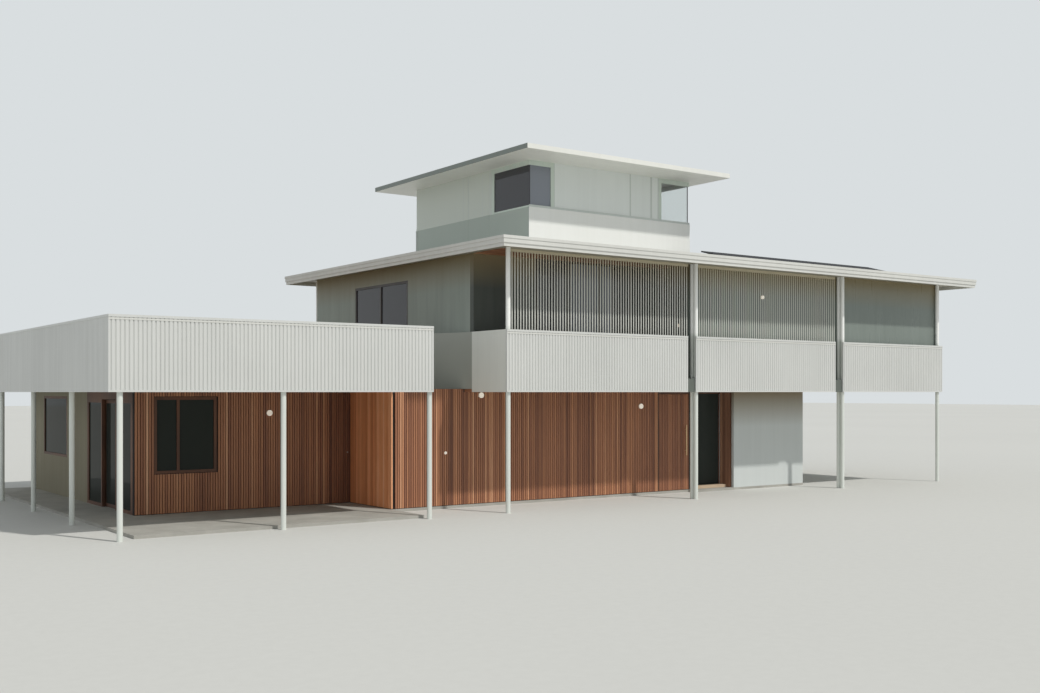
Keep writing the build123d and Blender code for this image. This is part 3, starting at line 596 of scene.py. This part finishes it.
entry = {"doorFace": 1.65, "gapStart": 0.010, "gapWidth": 0.036, "gapProud": 0.002, "lining": 0.040,
         "liningFront": 1.53, "glassFace": 1.91, "bead": 0.022, "beadDepth": 0.010, "beadEnd": 0.045,
         "sillDepth": 0.235, "sillHeight": 0.075, "pierWidth": 0.100}
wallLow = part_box("white_wall")[0]
gapLeft = doorHigh.x + entry["gapStart"]
# painted shadow: a thin black strip on the pier beside the door stands for the shade in the gap there
doorShadowStrip = trimAt("door_shadow_strip", (gapLeft, frontY + entry["doorFace"] - entry["gapProud"], slabTop),
                    (gapLeft + entry["gapWidth"], frontY + entry["doorFace"], soffit), 0.0005)
finishPiece(doorShadowStrip, "house", wallMembrane)
liningX = wallLow.x - entry["lining"]
liningFace = liningX - lining["depth"]
glassY = frontY + entry["glassFace"]
battenRow("entry_lining_boards", (liningX, glassY, 0), (0, -1, 0),
          entry["glassFace"] - entry["liningFront"], fullHeight, "house", lambda distance: 0.34,
          liningBoard, lining, liningTimber)
bead = trimAt("entry_glass_bead",
              (liningFace - entry["bead"], glassY - entry["beadDepth"], slabTop + entry["beadEnd"]),
              (liningFace, glassY, soffit - entry["beadEnd"]))
finishPiece(bead, "house", anodised)
sill = blockAt("entry_sill", (gapLeft + entry["pierWidth"], glassY - entry["sillDepth"], slabTop),
               (liningFace, glassY - 0.001, slabTop + entry["sillHeight"]))
bevelEdges(sill, 0.004)
finishPiece(sill, "house", sillStone)

# end of the floor beside the recess, which the raised battens of the wall meet
floorTrim = {"left": 0.008, "right": 0.016, "start": 1.345, "lap": 0.001}
edgeCover = trimAt("recess_floor_trim", (frontX + floorTrim["left"], frontY + floorTrim["start"], soffit),
                   (frontX + floorTrim["right"], frontLow.y - battens["depth"] + floorTrim["lap"],
                    soffit + battens["recessRise"]))
finishPiece(setTone(edgeCover, 0.4), "house", boardedTimber)

print("stage: ribbed bands")


# band that runs along +x with its face on y = 0: sheet with v grooves between a base trim and a cap
def ribbedBand(name, length, start, turn):
    count = round(length / ribs["pitch"])
    step = length / count
    sheetLow, sheetHigh = soffit + ribs["base"], bandTop - ribs["cap"]
    rib = blockAt("rib", (0, 0, sheetLow), (step, ribs["thick"], sheetHigh))
    bevelEdges(rib, ribs["groove"] / 2, 1, lambda edge: upright(edge) and edge.verts[0].co.y < 0.001)
    pickParts(rib, "FACE", lambda face: abs(face.normal.x) > 0.99)
    bpy.ops.mesh.delete(type="FACE")
    leaveEdit()
    repeatPiece(rib, count, (step, 0, 0), True)
    pickParts(rib, "EDGE", lambda edge: edge.is_boundary)
    bpy.ops.mesh.fill_holes(sides=0)
    leaveEdit()
    base = trimAt("base", (0, 0, soffit), (length, ribs["thick"], sheetLow))
    cap = trimAt("cap", (0, -ribs["capProud"], sheetHigh), (length, ribs["thick"], bandTop))
    band = joinPieces([rib, base, cap], name)
    band.data.transform(Matrix.Translation(start) @ Matrix.Rotation(math.radians(turn), 4, "Z"))
    return band


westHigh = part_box("wing_band_west")[1]
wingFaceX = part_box("wing_band_front")[0].x
westLength = westHigh.y - frontY - ribs["thick"]
westBand = ribbedBand("wing_west_ribs", westLength, (wingFaceX, westHigh.y, 0), -90)
finishPiece(westBand, "house", ribbedSheetWhite)
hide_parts("wing_band_west")

mainLow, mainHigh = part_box("back_bands")
eastX, backY = mainHigh.x - ribs["capProud"], mainHigh.y - ribs["capProud"]
eastLength = backY - ribs["thick"] - mainLow.y
backBands = [ribbedBand("east_ribs", eastLength, (eastX, mainLow.y, 0), 90),
             ribbedBand("back_ribs", eastX - mainLow.x, (eastX, backY, 0), 180)]
backBand = finishPiece(joinPieces(backBands, "back_east_ribs"), "house", ribbedSheetWhite)
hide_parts("back_bands")

rearLow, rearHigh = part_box("wing_back_bands")
rearX, rearY = rearHigh.x - ribs["capProud"], rearHigh.y - ribs["capProud"]
rearJoint = {"recess": 0.0015, "back": 0.0005}
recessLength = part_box("curved_balustrade")[1].y - frontY - ribs["thick"] * 2 - rearJoint["recess"]
rearStart = mainHigh.y + rearJoint["back"]
rearBands = [ribbedBand("rear_ribs", rearX - rearLow.x, (rearX, rearY, 0), 180),
             ribbedBand("recess_ribs", recessLength, (rearX, rearLow.y, 0), 90),
             ribbedBand("side_ribs", rearY - ribs["thick"] - rearStart, (rearX, rearStart, 0), 90)]
rearBand = finishPiece(joinPieces(rearBands, "wing_back_ribs"), "house", ribbedSheetWhite)
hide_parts("wing_back_bands")

# folded flashing below each cap, with a shadow gap above it
flashing = {"gap": 0.012, "height": 0.032, "proud": 0.005}
flashTop = bandTop - ribs["cap"] - flashing["gap"]
strips = []
for nodeName in ("band_bay_1", "band_bay_2", "band_bay_3", "wing_band_front"):
    low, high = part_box(nodeName)
    strips.append(trimAt("strip", (low.x, frontY - flashing["proud"], flashTop - flashing["height"]),
                         (high.x, frontY + 0.001, flashTop), 0.0015))
finishPiece(joinPieces(strips, "cap_flashings"), "house", foldedTrimWhite)

print("stage: roofs")
solar = {"count": 7, "gap": 0.020, "length": 1.650, "thick": 0.035, "tilt": 15, "rim": 0.014, "sink": 0.004}
solarLow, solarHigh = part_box("solar_panels")
solarPitch = (solarHigh.x - solarLow.x + solar["gap"]) / solar["count"]
panel = blockAt("panel", (0, 0, 0), (solarPitch - solar["gap"], solar["length"], solar["thick"]))
panel.data.materials.append(blackFrames)
panel.data.materials.append(cellGlass)
pickParts(panel, "FACE", lambda face: face.normal.z > 0.99)
bpy.ops.mesh.inset(thickness=solar["rim"])
bpy.ops.transform.translate(value=(0, 0, -solar["sink"]))
panel.active_material_index = 1
bpy.ops.object.material_slot_assign()
leaveEdit()
lowEdge = solarHigh.y - solar["length"] * math.cos(math.radians(solar["tilt"]))
panels = []
for i in range(solar["count"]):
    spot = Vector((solarLow.x + i * solarPitch, lowEdge, solarLow.z))
    place = Matrix.Translation(spot) @ Matrix.Rotation(math.radians(solar["tilt"]), 4, "X")
    panels.append(copyPiece(panel, place))
bpy.data.objects.remove(panel)
panelRow = joinPieces(panels, "framed_solar_panels")
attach(panelRow, "house")
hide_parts("solar_panels")

# standing seams run front to back, half a solar panel apart, so that the racks stand between them
seams = {"width": 0.024, "height": 0.020, "margin": 0.10, "edge": 0.004, "clearSide": 0.05,
         "clearEnd": 0.03}


# clear is the (low, high) box of what stands on the roof and parts the seams
def seamRow(name, low, high, count, step, clear=None):
    pieces = []
    for i in range(count):
        x = low.x + seams["margin"] + i * step
        spans = [(low.y + seams["margin"], high.y - seams["margin"])]
        if clear and clear[0].x - seams["clearSide"] < x < clear[1].x + seams["clearSide"]:
            spans = [(spans[0][0], clear[0].y - seams["clearEnd"]),
                     (clear[1].y + seams["clearEnd"], spans[0][1])]
        for start, end in spans:
            pieces.append(trimAt("seam", (x - seams["width"] / 2, start, high.z),
                                 (x + seams["width"] / 2, end, high.z + seams["height"]), seams["edge"]))
    return finishPiece(joinPieces(pieces, name), "house", roofSheeting)


seamStep = solarPitch / 2
roofLow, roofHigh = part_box("main_roof")
seamStart = solarLow.x - math.floor((solarLow.x - roofLow.x - seams["margin"]) / seamStep) * seamStep
seamCount = int((roofHigh.x - seams["margin"] - seamStart) / seamStep) + 1
seamRow("roof_seams", Vector((seamStart - seams["margin"], roofLow.y, 0)), roofHigh, seamCount, seamStep,
        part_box("popup_bands"))
topLow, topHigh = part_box("popup_roof")
topCount = int((topHigh.x - topLow.x - 2 * seams["margin"]) / seamStep) + 1
seamRow("popup_roof_seams", topLow, topHigh, topCount, seamStep)

print("stage: pop-up trims")
# places of the covers and joints are along the front and into the house
popupTrim = {"proud": 0.006, "jointProud": 0.002, "lap": 0.001, "edge": 0.0005, "sillHeight": 0.055,
             "sillProud": 0.020,
             "front": [(5.965, 6.640), (6.700, 6.900)], "side": [(4.62, 4.93), (5.63, 5.85)],
             "jointsFront": [(3.462, 3.482), (5.925, 5.965), (6.640, 6.700), (6.905, 6.940)],
             "jointsSide": [(4.540, 4.556), (4.60, 4.62), (4.93, 4.955), (5.61, 5.63), (5.85, 5.875)]}
faceY, backFaceY, leftX, rightX = popupLow.y, popupHigh.y, popupLow.x, popupHigh.x
sillTop = popupSill + popupTrim["sillHeight"]


# from just inside one face of the room to a little outside it, then the same at the opposite face
def twoFaces(low, high, proud):
    return (low - proud, low + popupTrim["lap"]), (high - popupTrim["lap"], high + proud)


covers, joints = [], []
for left, right in popupTrim["front"]:
    for start, end in twoFaces(faceY, backFaceY, popupTrim["proud"]):
        covers.append(trimAt("cover", (frontX + left, start, popupSill),
                             (frontX + right, end, popupHigh.z)))
for near, far in popupTrim["side"]:
    for start, end in twoFaces(leftX, rightX, popupTrim["proud"]):
        covers.append(trimAt("cover", (start, frontY + near, roofTop), (end, frontY + far, popupHigh.z)))
start, end = twoFaces(faceY, backFaceY, popupTrim["jointProud"])[0]
for left, right in popupTrim["jointsFront"]:
    joints.append(trimAt("joint", (frontX + left, start, sillTop), (frontX + right, end, popupHigh.z),
                         popupTrim["edge"]))
start, end = twoFaces(leftX, rightX, popupTrim["jointProud"])[0]
for near, far in popupTrim["jointsSide"]:
    joints.append(trimAt("joint", (start, frontY + near, popupSill), (end, frontY + far, popupHigh.z),
                         popupTrim["edge"]))
finishPiece(joinPieces(covers, "popup_cover_strips"), "house", popupPanels)
finishPiece(joinPieces(joints, "popup_joints"), "house", jointPaint)
sills = [trimAt("sill", (leftX, start, popupSill), (rightX, end, sillTop))
         for start, end in twoFaces(faceY, backFaceY, popupTrim["sillProud"])]
finishPiece(joinPieces(sills, "popup_sill_flashing"), "house", jointPaint)

print("stage: slat screens")
slats = {"pitch": 0.076, "width": 0.026, "depth": 0.014, "rail": 0.060, "edge": 0.0015}


# box-section slats between a foot rail and a head rail
def slatScreen(name, replaced):
    low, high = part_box(replaced)
    count = int((high.x - low.x - slats["width"]) / slats["pitch"]) + 1
    first = low.x + (high.x - low.x - slats["width"] - (count - 1) * slats["pitch"]) / 2
    slat = blockAt("slat", (first, low.y, low.z + slats["rail"]),
                   (first + slats["width"], low.y + slats["depth"], high.z - slats["rail"]))
    bevelEdges(slat, slats["edge"], 1, upright)
    repeatPiece(slat, count, (slats["pitch"], 0, 0))
    foot = trimAt("foot", low, (high.x, high.y, low.z + slats["rail"]))
    head = trimAt("head", (low.x, low.y, high.z - slats["rail"]), high)
    screen = finishPiece(joinPieces([slat, foot, head], name), "house", coatedSlats)
    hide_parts(replaced)


slatScreen("slat_screen_1", "screen_bay_1")
slatScreen("slat_screen_2", "screen_bay_2")

print("stage: veranda and decks")
boards = {"width": 0.126, "gap": 0.005, "thick": 0.012, "front": 0.285, "rear": 1.335, "left": 0.05,
          "right": 5.500}
ceilingBoard = blockAt("ceilingBoard", (0, 0, 0),
                       (boards["right"] - boards["left"], boards["width"], boards["thick"]))
bevelEdges(ceilingBoard, 0.003, 1)
boardStep = boards["width"] + boards["gap"]
copies = []
for i in range(int((boards["rear"] - boards["front"]) / boardStep)):
    spot = at(boards["left"], boards["front"] + i * boardStep, ceiling - boards["thick"])
    copies.append(setTone(copyPiece(ceilingBoard, Matrix.Translation(spot)), boardTone()))
bpy.data.objects.remove(ceilingBoard)
finishPiece(joinPieces(copies, "veranda_ceiling_boards"), "house", boardedTimber)

decking = {"width": 0.138, "gap": 0.006, "thick": 0.020, "margin": 0.004, "curveClear": 0.01}
deckLow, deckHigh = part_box("wing_deck")
linkLow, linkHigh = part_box("link_deck")
curveCentre = Vector((deckHigh.x + ribs["thick"], linkLow.y))
curveRadius = linkHigh.x - curveCentre.x + decking["curveClear"]


def deckEnds(x):
    if x < deckHigh.x:
        return deckLow.y + decking["margin"], deckHigh.y - decking["margin"]
    reach = max(x - curveCentre.x, 0)
    start = curveCentre.y + math.sqrt(max(curveRadius ** 2 - reach ** 2, 0))
    return start + decking["margin"], linkHigh.y - decking["margin"]


copies = []
deckStep = decking["width"] + decking["gap"]
for left, right in ((deckLow.x, deckHigh.x), (deckHigh.x, linkHigh.x)):
    for i in range(int((right - left) / deckStep)):
        x = left + decking["margin"] + i * deckStep
        start, end = deckEnds(x)
        cut = start + (end - start) * random.uniform(0.3, 0.7)
        for y0, y1 in ((start, cut - decking["gap"] / 2), (cut + decking["gap"] / 2, end)):
            board = trimAt("deckBoard", (x, y0, floorLevel),
                           (x + decking["width"], y1, floorLevel + decking["thick"]))
            copies.append(setTone(board, boardTone()))
finishPiece(joinPieces(copies, "deck_boards"), "house", deckTimber)

print("stage: lights and hook")
# spots are along the front, into the house and above the ground
lamps = {"depth": 0.040, "rim": 0.066, "rimDepth": 0.012,
         "wallSpots": [(0.44, 1.65, 2.48), (5.18, 1.65, 2.20), (-3.77, 3.55, 2.10)],
         "screen": {"along": 7.98, "height": 4.93, "radius": 0.045},
         "veranda": {"inward": 0.64, "height": 4.16, "radius": 0.040, "depth": 0.03},
         "step": {"spot": (-0.49, 1.65, 1.22), "radius": 0.032, "depth": 0.024}}


# round light: opal glass with a domed edge, facing along direction
def roundLight(name, centre, direction, radius, depth=lamps["depth"]):
    outward = Vector(direction)
    glass = discAt(name, centre + outward * depth / 2, radius, depth, direction)
    pickParts(glass, "FACE", lambda face: face.normal.dot(outward) > 0.9)
    bpy.ops.mesh.bevel(offset=radius / 6, segments=3)
    leaveEdit()
    return finishPiece(glass, "house", opalGlass, 40)


# disc on a wall that looks to the front, with rounded rims
def roundedRim(name, centre, radius, depth, edge, vertices=32):
    disc = discAt(name, centre, radius, depth, (0, -1, 0), vertices)
    bevelEdges(disc, edge, 2, lambda part: part.calc_face_angle(0) > 1)
    return disc


light = lamps["screen"]
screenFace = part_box("screen_bay_2")[0].y
roundLight("screen_light", Vector((frontX + light["along"], screenFace, light["height"])), (0, -1, 0),
           light["radius"])
light = lamps["veranda"]
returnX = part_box("front_upper_wall")[0].x
roundLight("veranda_light", Vector((returnX, frontY + light["inward"], light["height"])), (-1, 0, 0),
           light["radius"], light["depth"])

rims = []
for along, inward, height in lamps["wallSpots"]:
    spot = at(along, inward - lamps["rimDepth"] / 2, height)
    rims.append(roundedRim("rim", spot, lamps["rim"], lamps["rimDepth"], 0.002))
finishPiece(joinPieces(rims, "wall_light_rims"), "house", satinSteel, 40)
light = lamps["step"]
roundLight("step_light", at(*light["spot"]), (0, -1, 0), light["radius"], light["depth"])

# hook beside the terrace: a stem with a round head
hook = {"along": -1.91, "wall": 3.55, "height": 1.20, "reach": 0.03, "stem": 0.006, "head": 0.016,
        "headDepth": 0.014, "edge": 0.004}
stem = discAt("stem", at(hook["along"], hook["wall"] - hook["reach"] / 2, hook["height"]), hook["stem"],
              hook["reach"], (0, -1, 0), 16)
head = roundedRim("head", at(hook["along"], hook["wall"] - hook["reach"], hook["height"]), hook["head"],
                  hook["headDepth"], hook["edge"], 24)
finishPiece(joinPieces([stem, head], "wall_hook"), "house", satinSteel, 40)
for model in (batten, liningBoard):
    bpy.data.objects.remove(model)

print("stage: camera, floor and light")
camera = bpy.data.cameras.new("camera")
cameraObject = bpy.data.objects.new("camera", camera)
bpy.context.scene.collection.objects.link(cameraObject)
view = {"eye": (-17.7035, -25.754, 2.55), "turn": -35.6, "lens": 40.1, "sensor": 36, "rise": 0.0438,
        "reach": 500}
cameraObject.location = view["eye"]
cameraObject.rotation_euler = (math.radians(90), 0, math.radians(view["turn"]))
camera.lens = view["lens"]
camera.sensor_width = view["sensor"]
camera.shift_y = view["rise"]
camera.clip_end = view["reach"]
bpy.context.scene.camera = cameraObject

bpy.ops.object.select_all(action="DESELECT")
bpy.ops.mesh.primitive_plane_add(size=400)
floor = bpy.context.object
floor.name = "floor"
floor.data.materials.append(paintedMaterial("paleStudioFloor", "#CFCFCB", "#CBCBC7", 0.9, 30, 0.02, 0.05))


def sunLamp(name, energy, angle, colour, direction):
    lamp = bpy.data.lights.new(name, "SUN")
    lamp.energy = energy
    lamp.angle = math.radians(angle)
    lamp.color = colour
    lampObject = bpy.data.objects.new(name, lamp)
    bpy.context.scene.collection.objects.link(lampObject)
    lampObject.rotation_euler = Vector(direction).to_track_quat("-Z", "Y").to_euler()


sunLamp("keyLight", 2.25, 2, (1.0, 0.975, 0.93), (-0.4, 1.0, -1.35))
sunLamp("fillLight", 0.15, 60, (0.95, 0.98, 1.0), (0.8, 0.5, -0.15))

world = bpy.data.worlds.new("studio")
bpy.context.scene.world = world
world.use_nodes = True
worldTree = world.node_tree
worldTree.nodes.clear()
lightPath = addNode(worldTree, "ShaderNodeLightPath")
seen = addNode(worldTree, "ShaderNodeMath", {"operation": "MAXIMUM"},
               {0: lightPath.outputs["Is Camera Ray"], 1: lightPath.outputs["Is Glossy Ray"]})
seenThrough = addNode(worldTree, "ShaderNodeMath", {"operation": "MAXIMUM"},
                      {0: seen.outputs[0], 1: lightPath.outputs["Is Transmission Ray"]})
ambient = addNode(worldTree, "ShaderNodeBackground", None,
                  {"Color": hexColour("#E6EBEE"), "Strength": 0.55})
backdrop = addNode(worldTree, "ShaderNodeBackground", None,
                   {"Color": hexColour("#D9DEE0"), "Strength": 1.0})
mixed = addNode(worldTree, "ShaderNodeMixShader", None, {0: seenThrough.outputs[0], 1: ambient.outputs[0],
                                                         2: backdrop.outputs[0]})
addNode(worldTree, "ShaderNodeOutputWorld", None, {"Surface": mixed.outputs[0]})
bpy.context.scene.view_settings.view_transform = "Standard"
